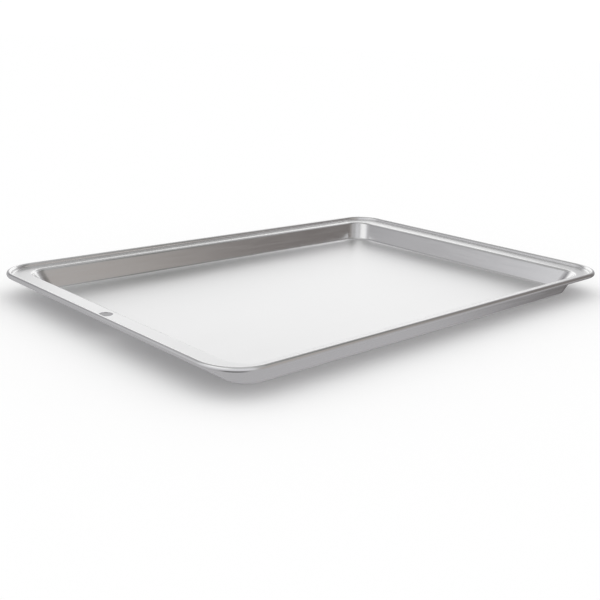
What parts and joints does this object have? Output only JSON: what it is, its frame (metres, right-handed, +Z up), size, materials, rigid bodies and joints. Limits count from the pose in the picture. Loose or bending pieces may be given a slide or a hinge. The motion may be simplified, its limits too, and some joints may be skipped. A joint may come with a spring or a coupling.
{
  "type": "jelly roll pan",
  "caption": "Shallow rectangular sheet steel baking pan with leaning walls, a flat flange, a raised wire-filled rolled rim and a hang hole in one short end.",
  "frame": {"origin": "centre of the pan's outline, on the surface that it stands on", "axes": "+X along the long side, with the hang hole at the -X end, +Y across, +Z up out of the pan's mouth"},
  "size_m": [0.413, 0.283, 0.02],
  "materials": {
    "pan_steel": "satin, fine rolling grain",
    "wire_steel": "drawn wire, bare"
  },
  "bodies": {
    "root": {"pan_body": "pan_steel", "rim_wire": "wire_steel"}
  },
  "joints": []
}
